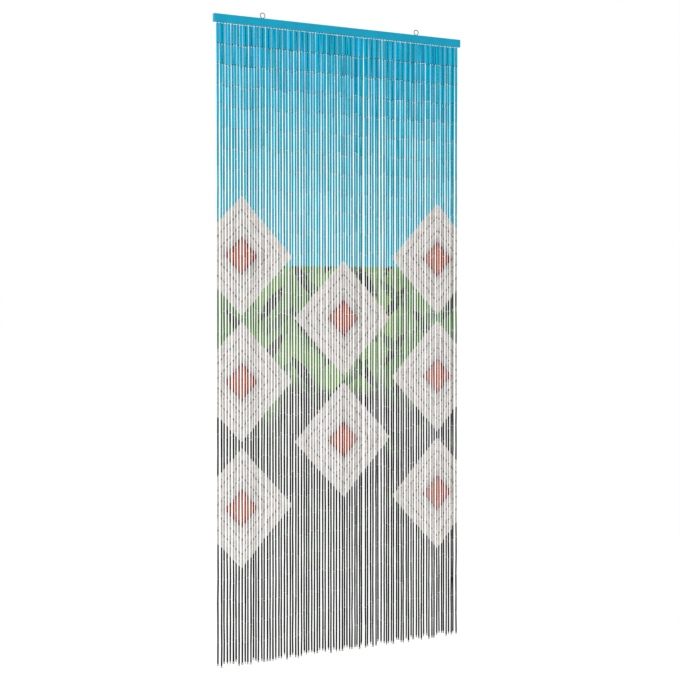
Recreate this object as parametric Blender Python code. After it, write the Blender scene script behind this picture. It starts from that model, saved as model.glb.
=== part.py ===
"""Bamboo door curtain: ninety beaded strands that hang from a painted wooden header bar.

Metres, +Z up. The origin is the middle of the bar's top face. +X runs along the bar, and the
front of the curtain faces -Y.
"""

import math
import random

import bmesh
import bpy
from mathutils import Matrix, Vector

# Header bar
BAR_LENGTH = 0.900
BAR_DEPTH = 0.012
BAR_HEIGHT = 0.0250
BAR_EDGE = 0.0010

# Screw eyes, bent from wire and screwed into the top of the bar, a little left of its middle
EYE_SPACING = 0.562
EYE_ASIDE = -0.0028
EYE_OUTER_DIAMETER = 0.0180
EYE_WIRE = 0.0020
EYE_SHANK_LENGTH = 0.0100
EYE_START_ANGLE = math.radians(12)
EYE_END_ANGLE = math.radians(14)
EYE_RING_STEPS = 20
EYE_BEND_STEPS = 4
PILOT_DIAMETER = 0.0032
PILOT_SIDES = 12
PILOT_SPARE_DEPTH = 0.0010

# Clearance between pieces that touch on the real thing
FIT_GAP = 0.0003

# Strands, counted from the left end of the bar
STRAND_COUNT = 90
STRAND_PITCH = 0.00976
ROOT_SPREAD = 0.0003
STRAND_DROP = 2.000
DROP_SPREAD = 0.008
STRAND_SEED = 31

# Extra space, in metres, where two neighbouring strands are fixed further apart
PARTING_COLUMNS = ("after", "extra")
PARTING_ROWS = (
    (7, 0.0008),
    (24, 0.0008),
    (59, 0.0024),
)

# Strip that carries the roots of one half of the strands
STRIP_DEPTH = 0.0024
STRIP_HEIGHT = 0.0014
STRIP_OVERHANG = 0.0020
ROOT_WIDTH = 0.0012

# Beads, counted from the top of a strand
BEAD_COUNT = 31
JOINT_GAP = 0.0032
TOP_LINK = 0.0030
TOP_BEAD_DIAMETER = 0.0084
LOW_BEAD_DIAMETER = 0.0046
TAPER_BEADS = 5.0
BEAD_LENGTH_SPREAD = 0.08
FIRST_LENGTH_SHARE = 1.03
FIRST_LENGTH_SPREAD = 0.03
LINK_WIDTH = 0.0016
BEAD_CHAMFER = 0.0008

# Joints that are cut into the solid strands, and the rows where the plain run below them changes
MODELLED_JOINTS = 4
RUN_COLUMNS = ("row", "zone")
RUN_ROWS = (
    (7, "sky"),
    (12, "sky"),
    (18, "leaf"),
)

# Wire loop that closes the lower end of a strand
LOOP_WIDTH = 0.0060
LOOP_THICKNESS = 0.0014
LOOP_HEIGHT = 0.0075
LOOP_NECK_SHARE = 0.15
LOOP_WIDEST_SHARE = 0.60
LOOP_TIP_SHARE = 0.4
LOOP_SWING = math.radians(40)

# Sideways lean at the lower ends, in strand pitches, from the first to the last strand of a run.
# The thick upper beads push the strands aside, and below them they hang straight.
LEAN_COLUMNS = ("first", "last", "lean_first", "lean_last")
LEAN_ROWS = (
    (0, 6, 0.26, 0.41),
    (7, 12, 0.42, 0.42),
    (13, 20, 0.18, 0.20),
    (21, 30, 0.29, 0.32),
    (31, 37, 0.14, 0.08),
    (38, 43, 0.15, 0.38),
    (44, 45, 0.60, 0.16),
    (46, 49, 0.33, 0.12),
    (50, 52, 0.13, -0.27),
    (53, 60, 0.13, 0.21),
    (61, 68, 0.06, -0.27),
    (69, 76, -0.27, -0.12),
    (77, 83, 0.00, 0.00),
    (84, 89, -0.05, -0.16),
)
LEAN_SPREAD = 0.08
LEAN_REACH = 0.2
STAGGER = 0.0014
STAGGER_SPREAD = 0.0008
TOP_STAGGER_SHARE = 0.35

# Colours, linear RGB, of the three painted zones from the top down
SKY_COLOUR = (0.021, 0.340, 0.450, 1.0)
LEAF_COLOUR = (0.060, 0.200, 0.065, 1.0)
DUSK_COLOUR = (0.022, 0.030, 0.026, 1.0)
BAR_COLOUR = (0.020, 0.350, 0.530, 1.0)
STEEL_COLOUR = (0.480, 0.480, 0.470, 1.0)
ZONE_ORDER = ("sky", "leaf", "dusk", "wire")


def clear_scene():
    """Remove whatever the scene holds before the curtain is built."""
    for item in list(bpy.data.objects):
        bpy.data.objects.remove(item, do_unlink=True)


def make_material(name, colour, roughness, metallic=0.0):
    """A plain shader material with one colour."""
    material = bpy.data.materials.new(name)
    material.use_nodes = True
    shader = material.node_tree.nodes["Principled BSDF"]
    shader.inputs["Base Color"].default_value = colour
    shader.inputs["Roughness"].default_value = roughness
    shader.inputs["Metallic"].default_value = metallic
    material.diffuse_color = colour
    return material


def add_object(name, bm, materials):
    """Turn a bmesh into an object in the scene and give it its materials."""
    mesh = bpy.data.meshes.new(name)
    bmesh.ops.recalc_face_normals(bm, faces=bm.faces)
    bm.to_mesh(mesh)
    bm.free()
    for material in materials:
        mesh.materials.append(material)
    item = bpy.data.objects.new(name, mesh)
    bpy.context.scene.collection.objects.link(item)
    return item


def eye_places():
    """Name and place along the bar of each screw eye."""
    return (
        ("eye_left", EYE_ASIDE - EYE_SPACING / 2),
        ("eye_right", EYE_ASIDE + EYE_SPACING / 2),
    )


def make_pilot_cutter(name, along):
    """Blind hole for one screw eye, as a hidden cutter."""
    depth = EYE_SHANK_LENGTH + FIT_GAP + PILOT_SPARE_DEPTH
    bm = bmesh.new()
    bmesh.ops.create_cone(
        bm,
        cap_ends=True,
        segments=PILOT_SIDES,
        radius1=PILOT_DIAMETER / 2,
        radius2=PILOT_DIAMETER / 2,
        depth=2 * depth,
        matrix=Matrix.Translation((along, 0.0, 0.0)),
    )
    cutter = add_object(name, bm, ())
    cutter.hide_render = True
    cutter.display_type = "WIRE"
    return cutter


def make_bar(material):
    """Header bar with eased edges and two blind pilot holes in its top."""
    bm = bmesh.new()
    size = Matrix.Diagonal((BAR_LENGTH, BAR_DEPTH, BAR_HEIGHT, 1.0))
    place = Matrix.Translation((0.0, 0.0, -BAR_HEIGHT / 2))
    bmesh.ops.create_cube(bm, size=1.0, matrix=place @ size)
    bmesh.ops.bevel(
        bm,
        geom=bm.edges[:],
        offset=BAR_EDGE,
        segments=2,
        profile=0.5,
        affect="EDGES",
        material=-1,
    )
    bar = add_object("header_bar", bm, (material,))
    for name, along in eye_places():
        hole = bar.modifiers.new("pilot hole", "BOOLEAN")
        hole.operation = "DIFFERENCE"
        hole.object = make_pilot_cutter(name + "_pilot", along)
    return bar


def eye_route():
    """Centre line of a screw eye: shank, short bend, then an almost closed ring."""
    ring_radius = (EYE_OUTER_DIAMETER - EYE_WIRE) / 2
    ring_centre = ring_radius + EYE_WIRE / 2 + FIT_GAP
    lift = math.sin(EYE_START_ANGLE)
    bend_radius = ring_radius * lift / (1.0 - lift)
    bend_base = ring_centre - (ring_radius + bend_radius) * math.cos(EYE_START_ANGLE)
    route = [Vector((0.0, 0.0, -EYE_SHANK_LENGTH))]
    for step in range(EYE_BEND_STEPS):
        turn = (math.pi / 2 - EYE_START_ANGLE) * step / EYE_BEND_STEPS
        across = bend_radius * (1.0 - math.cos(turn))
        route.append(Vector((across, 0.0, bend_base + bend_radius * math.sin(turn))))
    sweep = 2 * math.pi - EYE_START_ANGLE - EYE_END_ANGLE
    for step in range(EYE_RING_STEPS + 1):
        angle = EYE_START_ANGLE + sweep * step / EYE_RING_STEPS
        across = ring_radius * math.sin(angle)
        route.append(Vector((across, 0.0, ring_centre - ring_radius * math.cos(angle))))
    return route


def make_eye(name, along, material):
    """One screw eye, a single bent wire that lies in the plane of the curtain."""
    route = eye_route()
    curve = bpy.data.curves.new(name, "CURVE")
    curve.dimensions = "3D"
    curve.bevel_depth = EYE_WIRE / 2
    curve.bevel_resolution = 1
    curve.use_fill_caps = True
    spline = curve.splines.new("POLY")
    spline.points.add(len(route) - 1)
    for point, place in zip(spline.points, route):
        point.co = (place.x, place.y, place.z, 1.0)
    curve.materials.append(material)
    item = bpy.data.objects.new(name, curve)
    item.location.x = along
    bpy.context.scene.collection.objects.link(item)
    return item


def bead_diameter(row):
    """Outer diameter of a bead, which tapers from thick at the top to thin lower down."""
    extra = (TOP_BEAD_DIAMETER - LOW_BEAD_DIAMETER) * math.exp(-row / TAPER_BEADS)
    return LOW_BEAD_DIAMETER + extra


def table_lean(index):
    """Lean of one strand in pitches, read along its row of the lean table."""
    for values in LEAN_ROWS:
        row = dict(zip(LEAN_COLUMNS, values))
        if row["first"] <= index <= row["last"]:
            share = (index - row["first"]) / (row["last"] - row["first"])
            return row["lean_first"] + share * (row["lean_last"] - row["lean_first"])
    return 0.0


def root_place(index):
    """Even place of a strand's root along the bar, moved aside by the partings before it."""
    partings = [dict(zip(PARTING_COLUMNS, values)) for values in PARTING_ROWS]
    before = sum(parting["extra"] for parting in partings if parting["after"] < index)
    whole = sum(parting["extra"] for parting in partings)
    return (index - (STRAND_COUNT - 1) / 2) * STRAND_PITCH + before - whole / 2


def plan_strands():
    """Work out how every strand hangs: its root, lean, stagger and the ends of its beads."""
    chance = random.Random(STRAND_SEED)
    plans = []
    for index in range(STRAND_COUNT):
        lean = table_lean(index) + chance.uniform(-LEAN_SPREAD, LEAN_SPREAD)
        side = -1.0 if index % 2 else 1.0
        stagger = side * STAGGER + chance.uniform(-STAGGER_SPREAD, STAGGER_SPREAD)
        drop = STRAND_DROP + chance.uniform(-DROP_SPREAD, DROP_SPREAD)
        loop_turn = chance.uniform(-LOOP_SWING, LOOP_SWING)
        loop_edge_on = chance.random() < 0.5
        shares = [FIRST_LENGTH_SHARE + chance.uniform(-FIRST_LENGTH_SPREAD, FIRST_LENGTH_SPREAD)]
        for _ in range(BEAD_COUNT - 1):
            shares.append(1.0 + chance.uniform(-BEAD_LENGTH_SPREAD, BEAD_LENGTH_SPREAD))
        first = BAR_HEIGHT + TOP_LINK
        run = drop - LOOP_HEIGHT - first + JOINT_GAP
        level = first
        beads = []
        for share in shares:
            length = run * share / sum(shares)
            beads.append((level, level + length - JOINT_GAP))
            level += length
        root = root_place(index) + chance.uniform(-ROOT_SPREAD, ROOT_SPREAD)
        plans.append(
            {
                "root": root,
                "lean": lean * STRAND_PITCH,
                "stagger": stagger,
                "drop": drop,
                "loop_turn": loop_turn,
                "loop_edge_on": loop_edge_on,
                "beads": beads,
            }
        )
    return plans


def strand_point(plan, level):
    """Place on a strand's centre line at a depth below the top of the bar."""
    share = max(0.0, (level - BAR_HEIGHT) / (plan["drop"] - BAR_HEIGHT))
    sway = (1.0 - math.exp(-share / LEAN_REACH)) / (1.0 - math.exp(-1.0 / LEAN_REACH))
    aside = plan["stagger"] * (TOP_STAGGER_SHARE + (1.0 - TOP_STAGGER_SHARE) * sway)
    return Vector((plan["root"] + plan["lean"] * sway, aside, -level))


def ring_frame(centre, width, depth, turn=0.0):
    """Matrix that takes a square of side 2 to a four-cornered ring with its corners on the axes."""
    corners = Matrix.Rotation(math.pi / 4, 4, "Z") @ Matrix.Scale(math.sqrt(0.5), 4)
    size = Matrix.Diagonal((width / 2, depth / 2, math.sqrt(2.0), 1.0))
    return Matrix.Translation(centre) @ Matrix.Rotation(turn, 4, "Z") @ size @ corners


def strand_rings(plan):
    """Rings of one strand from its root down, each with the zone that it closes."""
    rings = []

    def add_ring(level, width, depth=None, turn=0.0, zone="sky"):
        centre = strand_point(plan, level)
        rings.append((ring_frame(centre, width, depth or width, turn), zone))

    beads = plan["beads"]
    add_ring(beads[0][0] - BEAD_CHAMFER, LINK_WIDTH)
    add_ring(beads[0][0], bead_diameter(0))
    for row in range(MODELLED_JOINTS):
        end = beads[row][1]
        add_ring(end, bead_diameter(row))
        add_ring(end + JOINT_GAP / 2, LINK_WIDTH)
        add_ring(end + JOINT_GAP, bead_diameter(row + 1))
    for values in RUN_ROWS:
        run = dict(zip(RUN_COLUMNS, values))
        add_ring(beads[run["row"]][0], bead_diameter(run["row"]), zone=run["zone"])
    end = beads[-1][1]
    add_ring(end, bead_diameter(BEAD_COUNT - 1), zone="dusk")
    turn = plan["loop_turn"]
    width, depth = LOOP_WIDTH, LOOP_THICKNESS
    if plan["loop_edge_on"]:
        width, depth = depth, width
    tip_width, tip_depth = width * LOOP_TIP_SHARE, depth * LOOP_TIP_SHARE
    add_ring(end + LOOP_HEIGHT * LOOP_NECK_SHARE, LINK_WIDTH, zone="wire")
    add_ring(end + LOOP_HEIGHT * LOOP_WIDEST_SHARE, width, depth, turn, "wire")
    add_ring(end + LOOP_HEIGHT, tip_width, tip_depth, turn, "wire")
    return rings


def grow_strand(bm, face, root_frame, plan):
    """Draw one strand down from its root on the strip, ring by ring."""
    last_frame = root_frame
    for frame, zone in strand_rings(plan):
        face = bmesh.ops.extrude_discrete_faces(bm, faces=[face])["faces"][0]
        bmesh.ops.transform(bm, matrix=frame @ last_frame.inverted(), verts=face.verts[:])
        for edge in face.edges:
            for neighbour in edge.link_faces:
                neighbour.material_index = ZONE_ORDER.index(zone)
        last_frame = frame


def make_strands(name, plans, materials):
    """One half of the strands, fused at their roots to the strip that carries them."""
    top = -(BAR_HEIGHT + FIT_GAP)
    bottom = top - STRIP_HEIGHT
    first = plans[0]["root"] - STRIP_OVERHANG
    last = plans[-1]["root"] + STRIP_OVERHANG
    bm = bmesh.new()
    size = Matrix.Diagonal((last - first, STRIP_DEPTH, STRIP_HEIGHT, 1.0))
    place = Matrix.Translation(((first + last) / 2, 0.0, (top + bottom) / 2))
    bmesh.ops.create_cube(bm, size=1.0, matrix=place @ size)
    for plan in plans:
        for side in (-1, 1):
            cut = plan["root"] + side * ROOT_WIDTH / 2
            everything = bm.verts[:] + bm.edges[:] + bm.faces[:]
            bmesh.ops.bisect_plane(
                bm, geom=everything, plane_co=(cut, 0.0, 0.0), plane_no=(1.0, 0.0, 0.0)
            )
    roots = []
    for plan in plans:
        for face in bm.faces:
            near = abs(face.calc_center_median().x - plan["root"]) < ROOT_WIDTH / 4
            if near and face.normal.z < -0.5:
                roots.append(face)
    for face, plan in zip(roots, plans):
        centre = Vector((plan["root"], 0.0, bottom))
        root_size = Matrix.Diagonal((ROOT_WIDTH / 2, STRIP_DEPTH / 2, 1.0, 1.0))
        grow_strand(bm, face, Matrix.Translation(centre) @ root_size, plan)
    return add_object(name, bm, materials)


def build():
    """Build every piece of the curtain."""
    clear_scene()
    bar_paint = make_material("bar paint", BAR_COLOUR, 0.55)
    steel = make_material("zinc plated wire", STEEL_COLOUR, 0.35, 1.0)
    zones = (
        make_material("sky paint on bamboo", SKY_COLOUR, 0.6),
        make_material("leaf paint on bamboo", LEAF_COLOUR, 0.6),
        make_material("dusk paint on bamboo", DUSK_COLOUR, 0.6),
        steel,
    )
    make_bar(bar_paint)
    for name, along in eye_places():
        make_eye(name, along, steel)
    plans = plan_strands()
    half = STRAND_COUNT // 2
    make_strands("strands_left", plans[:half], zones)
    make_strands("strands_right", plans[half:], zones)


build()
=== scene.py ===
import math
import random

import bmesh
import bpy
from bpy.props import FloatProperty, FloatVectorProperty, IntProperty, PointerProperty
from mathutils import Matrix, Vector


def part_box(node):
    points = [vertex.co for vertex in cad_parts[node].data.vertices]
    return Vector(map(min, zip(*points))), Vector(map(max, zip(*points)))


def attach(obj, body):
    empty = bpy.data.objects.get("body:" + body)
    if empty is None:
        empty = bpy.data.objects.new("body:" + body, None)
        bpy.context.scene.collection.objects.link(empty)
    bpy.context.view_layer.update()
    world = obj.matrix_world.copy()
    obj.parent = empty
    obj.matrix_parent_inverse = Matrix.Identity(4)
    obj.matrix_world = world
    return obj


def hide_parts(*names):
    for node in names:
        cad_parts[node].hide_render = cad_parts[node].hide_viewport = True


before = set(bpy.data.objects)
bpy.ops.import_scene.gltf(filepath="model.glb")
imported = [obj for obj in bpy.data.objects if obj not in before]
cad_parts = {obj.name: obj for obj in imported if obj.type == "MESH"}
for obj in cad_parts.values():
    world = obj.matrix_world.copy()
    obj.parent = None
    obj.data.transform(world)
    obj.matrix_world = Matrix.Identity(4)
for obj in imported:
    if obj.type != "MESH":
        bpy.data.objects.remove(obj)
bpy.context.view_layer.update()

bl_info = {
    "name": "Bamboo door curtain",
    "version": (1, 0, 0),
    "blender": (4, 5, 0),
    "location": "3D View > Sidebar > Curtain",
    "description": "Beads, wire links, screw eyes and finishes of a painted bamboo door curtain",
    "category": "Object",
}

# The construction model's box, and the places that its nodes give
BAR_LOW, BAR_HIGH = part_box("header_bar")
BAR_HEIGHT = BAR_HIGH[2] - BAR_LOW[2]
BODY = "root"

# Strands, counted from the left end of the bar, as the construction model hangs them
STRAND_COUNT = 90
STRAND_PITCH = 0.00976
ROOT_SPREAD = 0.0003
STRAND_DROP = 2.000
DROP_SPREAD = 0.008
STRAND_SEED = 31
PARTING_COLUMNS = ("after", "extra")
PARTING_ROWS = (
    (7, 0.0008),
    (24, 0.0008),
    (59, 0.0024),
)
LEAN_COLUMNS = ("first", "last", "lean_first", "lean_last")
LEAN_ROWS = (
    (0, 6, 0.26, 0.41),
    (7, 12, 0.42, 0.42),
    (13, 20, 0.18, 0.20),
    (21, 30, 0.29, 0.32),
    (31, 37, 0.14, 0.08),
    (38, 43, 0.15, 0.38),
    (44, 45, 0.60, 0.16),
    (46, 49, 0.33, 0.12),
    (50, 52, 0.13, -0.27),
    (53, 60, 0.13, 0.21),
    (61, 68, 0.06, -0.27),
    (69, 76, -0.27, -0.12),
    (77, 83, 0.00, 0.00),
    (84, 89, -0.05, -0.16),
)
LEAN_SPREAD = 0.08
LEAN_REACH = 0.2
STAGGER = 0.0014
STAGGER_SPREAD = 0.0008
TOP_STAGGER_SHARE = 0.35

# Beads, counted from the top of a strand
BEAD_COUNT = 31
JOINT_GAP = 0.0032
TOP_LINK = 0.0030
TOP_BEAD_DIAMETER = 0.0084
LOW_BEAD_DIAMETER = 0.0046
TAPER_BEADS = 5.0
BEAD_LENGTH_SPREAD = 0.08
FIRST_LENGTH_SHARE = 1.03
FIRST_LENGTH_SPREAD = 0.03
LOOP_HEIGHT = 0.0075
LOOP_WIDTH = 0.0060
LOOP_SWING = math.radians(40)

# Strands in one mesh, so that each piece stays light enough to handle
GROUP_SIZE = 15


def table_rows(columns, rows):
    """Rows of a table as dictionaries under its column names."""
    return [dict(zip(columns, values)) for values in rows]


def bead_diameter(row):
    """Outer diameter of a bead, which tapers from thick at the top to thin lower down."""
    extra = (TOP_BEAD_DIAMETER - LOW_BEAD_DIAMETER) * math.exp(-row / TAPER_BEADS)
    return LOW_BEAD_DIAMETER + extra


def table_lean(index):
    """Lean of one strand in pitches, read along its row of the lean table."""
    for row in table_rows(LEAN_COLUMNS, LEAN_ROWS):
        if row["first"] <= index <= row["last"]:
            share = (index - row["first"]) / (row["last"] - row["first"])
            return row["lean_first"] + share * (row["lean_last"] - row["lean_first"])
    return 0.0


def root_place(index):
    """Even place of a strand's root along the bar, moved aside by the partings before it."""
    partings = table_rows(PARTING_COLUMNS, PARTING_ROWS)
    before = sum(parting["extra"] for parting in partings if parting["after"] < index)
    whole = sum(parting["extra"] for parting in partings)
    return (index - (STRAND_COUNT - 1) / 2) * STRAND_PITCH + before - whole / 2


def plan_strands():
    """How every strand hangs, drawn in the same order as the construction model draws it."""
    chance = random.Random(STRAND_SEED)
    plans = []
    for index in range(STRAND_COUNT):
        lean = table_lean(index) + chance.uniform(-LEAN_SPREAD, LEAN_SPREAD)
        side = -1.0 if index % 2 else 1.0
        stagger = side * STAGGER + chance.uniform(-STAGGER_SPREAD, STAGGER_SPREAD)
        drop = STRAND_DROP + chance.uniform(-DROP_SPREAD, DROP_SPREAD)
        loop_turn = chance.uniform(-LOOP_SWING, LOOP_SWING)
        loop_edge_on = chance.random() < 0.5
        shares = [FIRST_LENGTH_SHARE + chance.uniform(-FIRST_LENGTH_SPREAD, FIRST_LENGTH_SPREAD)]
        for _ in range(BEAD_COUNT - 1):
            shares.append(1.0 + chance.uniform(-BEAD_LENGTH_SPREAD, BEAD_LENGTH_SPREAD))
        first = BAR_HEIGHT + TOP_LINK
        run = drop - LOOP_HEIGHT - first + JOINT_GAP
        level = first
        beads = []
        for share in shares:
            length = run * share / sum(shares)
            beads.append((level, level + length - JOINT_GAP))
            level += length
        root = root_place(index) + chance.uniform(-ROOT_SPREAD, ROOT_SPREAD)
        plans.append(
            {
                "index": index,
                "root": root,
                "lean": lean * STRAND_PITCH,
                "stagger": stagger,
                "drop": drop,
                "loop_turn": loop_turn + (math.pi / 2 if loop_edge_on else 0.0),
                "beads": beads,
            }
        )
    return plans


def strand_point(plan, level):
    """Place on a strand's centre line at a depth below the top of the bar."""
    share = max(0.0, (level - BAR_HEIGHT) / (plan["drop"] - BAR_HEIGHT))
    sway = (1.0 - math.exp(-share / LEAN_REACH)) / (1.0 - math.exp(-1.0 / LEAN_REACH))
    aside = plan["stagger"] * (TOP_STAGGER_SHARE + (1.0 - TOP_STAGGER_SHARE) * sway)
    return Vector((plan["root"] + plan["lean"] * sway, aside, -level))


class CurtainSizes(bpy.types.PropertyGroup):
    """Sizes of the pieces that are added to the construction model."""

    bead_sides: IntProperty(
        name="Bead sides", description="Flats round one bead", default=10, min=6, max=16
    )
    bead_bore_share: FloatProperty(
        name="Bore share",
        description="Bore of a bead as a share of its outer diameter",
        default=0.5,
        subtype="FACTOR",
    )
    bead_chamfer: FloatProperty(
        name="Bead edge",
        description="Worn edge at a bead's sawn end",
        default=0.00045,
        precision=5,
        unit="LENGTH",
        subtype="DISTANCE",
    )
    bead_spread: FloatProperty(
        name="Bead spread",
        description="How far a bead's diameter differs from its row's, as a share",
        default=0.05,
        subtype="FACTOR",
    )
    top_gap: FloatProperty(
        name="Top gap",
        description="Gap between two beads in the top row",
        default=0.0015,
        precision=5,
        unit="LENGTH",
        subtype="DISTANCE",
    )
    low_gap: FloatProperty(
        name="Low gap",
        description="Gap between two beads in the lowest rows",
        default=0.0008,
        precision=5,
        unit="LENGTH",
        subtype="DISTANCE",
    )
    sag: FloatProperty(
        name="Joint play",
        description="How far a joint at the foot sits off the strand's centre line",
        default=0.0005,
        precision=5,
        unit="LENGTH",
        subtype="DISTANCE",
    )
    link_wire: FloatProperty(
        name="Link wire",
        description="Diameter of the wire that runs through the beads",
        default=0.0006,
        precision=5,
        unit="LENGTH",
        subtype="DISTANCE",
    )
    link_ring: FloatProperty(
        name="Link ring",
        description="Outer diameter of the small loops that join two beads",
        default=0.0021,
        precision=5,
        unit="LENGTH",
        subtype="DISTANCE",
    )
    eye_wire: FloatProperty(
        name="Screw eye wire",
        description="Diameter of a screw eye's wire",
        default=0.0020,
        precision=5,
        unit="LENGTH",
        subtype="DISTANCE",
    )


class CurtainColours(bpy.types.PropertyGroup):
    """Paint and metal colours of the curtain."""

    turquoise: FloatVectorProperty(
        name="Turquoise paint",
        description="Turquoise of the upper strands",
        default=(0.008, 0.438, 0.660),
        subtype="COLOR",
    )
    teal: FloatVectorProperty(
        name="Teal paint",
        description="Greener turquoise of some of the upper beads",
        default=(0.007, 0.446, 0.568),
        subtype="COLOR",
    )
    sea_green: FloatVectorProperty(
        name="Sea green paint",
        description="Greener turquoise where the upper zone ends",
        default=(0.012, 0.418, 0.530),
        subtype="COLOR",
    )
    green: FloatVectorProperty(
        name="Green paint",
        description="Green of the middle zone",
        default=(0.083, 0.215, 0.046),
        subtype="COLOR",
    )
    near_black: FloatVectorProperty(
        name="Near black paint",
        description="Near black of the lower strands",
        default=(0.008, 0.009, 0.008),
        subtype="COLOR",
    )
    chalk: FloatVectorProperty(
        name="Chalk paint",
        description="Greyish white of the diamonds",
        default=(0.575, 0.545, 0.500),
        subtype="COLOR",
    )
    core: FloatVectorProperty(
        name="Core paint",
        description="Orange red in the middle of a diamond",
        default=(0.360, 0.046, 0.010),
        subtype="COLOR",
    )
    bar: FloatVectorProperty(
        name="Bar paint",
        description="Turquoise of the header bar",
        default=(0.012, 0.430, 0.605),
        subtype="COLOR",
    )
    # Sawn ends painted dark brown: bamboo colour with painted shade for the joints between beads
    bamboo: FloatVectorProperty(
        name="Bare bamboo",
        description="Sawn ends of the beads",
        default=(0.070, 0.045, 0.026),
        subtype="COLOR",
    )
    zinc: FloatVectorProperty(
        name="Zinc",
        description="Dull zinc of the screw eyes",
        default=(0.150, 0.150, 0.146),
        subtype="COLOR",
    )
    wire: FloatVectorProperty(
        name="Wire",
        description="Dark annealed wire of the links, staples and end loops",
        default=(0.066, 0.047, 0.038),
        subtype="COLOR",
    )


def sizes():
    """The scene's curtain sizes."""
    return bpy.context.scene.curtain_sizes


def colours():
    """The scene's curtain colours."""
    return bpy.context.scene.curtain_colours


def add_piece(name, mesh, materials, replaces=()):
    """Put a finished mesh in the scene as a piece that rides on the curtain's body."""
    for material in materials:
        mesh.materials.append(material)
    piece = bpy.data.objects.new(name, mesh)
    bpy.context.scene.collection.objects.link(piece)
    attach(piece, BODY)
    if replaces:
        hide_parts(*replaces)
    return piece


SHARP_ANGLE = math.radians(50)
WIRE_SHARP_ANGLE = math.radians(100)


def mesh_from(name, bm, sharp_angle=SHARP_ANGLE):
    """A smooth shaded mesh from a bmesh, with its steep edges kept sharp."""
    bmesh.ops.recalc_face_normals(bm, faces=bm.faces)
    mesh = bpy.data.meshes.new(name)
    bm.to_mesh(mesh)
    bm.free()
    mesh.shade_smooth()
    mesh.set_sharp_from_angle(angle=sharp_angle)
    return mesh


def join_copies(name, templates, places):
    """One mesh that holds a copy of a template at each place, and each copy's count of points."""
    bm = bmesh.new()
    counts = []
    for kind, place in places:
        copy = templates[kind].copy()
        copy.transform(place)
        bm.from_mesh(copy)
        counts.append(len(copy.vertices))
        bpy.data.meshes.remove(copy)
    mesh = bpy.data.meshes.new(name)
    bm.to_mesh(mesh)
    bm.free()
    return mesh, counts


def spread_values(mesh, name, counts, values):
    """Store one number for each copy in a joined mesh as a point attribute."""
    layer = mesh.attributes.new(name, "FLOAT", "POINT")
    spread = [value for count, value in zip(counts, values) for _ in range(count)]
    layer.data.foreach_set("value", spread)


class Shader:
    """Shorthand for building one material's nodes."""

    def __init__(self, name, roughness, metallic=0.0, gloss=0.5):
        self.material = bpy.data.materials.new(name)
        self.material.use_nodes = True
        self.tree = self.material.node_tree
        self.surface = self.tree.nodes["Principled BSDF"]
        self.surface.inputs["Roughness"].default_value = roughness
        self.surface.inputs["Metallic"].default_value = metallic
        self.surface.inputs["Specular IOR Level"].default_value = gloss

    def plug(self, value, socket):
        """Link a socket, or set a plain value."""
        if isinstance(value, bpy.types.NodeSocket):
            self.tree.links.new(value, socket)
        else:
            socket.default_value = value

    def math(self, operation, first, second=0.0, clamp=False):
        """Work out one number from one or two others."""
        node = self.tree.nodes.new("ShaderNodeMath")
        node.operation = operation
        node.use_clamp = clamp
        for value, socket in zip((first, second), node.inputs):
            self.plug(value, socket)
        return node.outputs[0]

    def ramp(self, value, low, high, start=0.0, end=1.0, smooth=True):
        """Map a value from low..high to start..end, held at its ends."""
        node = self.tree.nodes.new("ShaderNodeMapRange")
        node.interpolation_type = "SMOOTHSTEP" if smooth else "LINEAR"
        node.clamp = True
        self.plug(value, node.inputs["Value"])
        node.inputs["From Min"].default_value = low
        node.inputs["From Max"].default_value = high
        node.inputs["To Min"].default_value = start
        node.inputs["To Max"].default_value = end
        return node.outputs["Result"]

    def mix(self, factor, first, second, blend="MIX"):
        """Mix two colours."""
        node = self.tree.nodes.new("ShaderNodeMix")
        node.data_type = "RGBA"
        node.blend_type = blend
        self.plug(factor, node.inputs["Factor"])
        for value, socket in ((first, node.inputs[6]), (second, node.inputs[7])):
            self.plug((*value, 1.0) if isinstance(value, tuple) else value, socket)
        return node.outputs[2]

    def attribute(self, name):
        """A number stored on the mesh."""
        node = self.tree.nodes.new("ShaderNodeAttribute")
        node.attribute_name = name
        return node.outputs["Fac"]

    def coordinates(self, scale=(1.0, 1.0, 1.0)):
        """Object coordinates, stretched along the axes."""
        source = self.tree.nodes.new("ShaderNodeTexCoord")
        mapping = self.tree.nodes.new("ShaderNodeMapping")
        mapping.inputs["Scale"].default_value = scale
        self.tree.links.new(source.outputs["Object"], mapping.inputs["Vector"])
        return mapping.outputs["Vector"]

    def split(self, vector):
        """The three numbers of a vector."""
        node = self.tree.nodes.new("ShaderNodeSeparateXYZ")
        self.tree.links.new(vector, node.inputs["Vector"])
        return node.outputs

    def join(self, x, y, z):
        """A vector, or a grey, of three numbers."""
        node = self.tree.nodes.new("ShaderNodeCombineXYZ")
        for value, socket in zip((x, y, z), node.inputs):
            self.plug(value, socket)
        return node.outputs["Vector"]

    def noise(self, vector, scale, detail=2.0, roughness=0.5):
        """Soft noise between 0 and 1."""
        node = self.tree.nodes.new("ShaderNodeTexNoise")
        self.tree.links.new(vector, node.inputs["Vector"])
        node.inputs["Scale"].default_value = scale
        node.inputs["Detail"].default_value = detail
        node.inputs["Roughness"].default_value = roughness
        return node.outputs["Fac"]

    def bump(self, height, strength, distance):
        """Raise the surface's shading by a height."""
        node = self.tree.nodes.new("ShaderNodeBump")
        node.inputs["Strength"].default_value = strength
        node.inputs["Distance"].default_value = distance
        self.tree.links.new(height, node.inputs["Height"])
        self.tree.links.new(node.outputs["Normal"], self.surface.inputs["Normal"])

    def finish(self, colour, roughness=None):
        """Send the last colour and roughness to the surface."""
        self.plug(colour, self.surface.inputs["Base Color"])
        if roughness is not None:
            self.plug(roughness, self.surface.inputs["Roughness"])
        return self.material


# Below, a ramp holds two limits of a value and, where they aren't 0 and 1, what it makes of
# them. A bump holds its strength and its depth in metres. Colours are linear.

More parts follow.
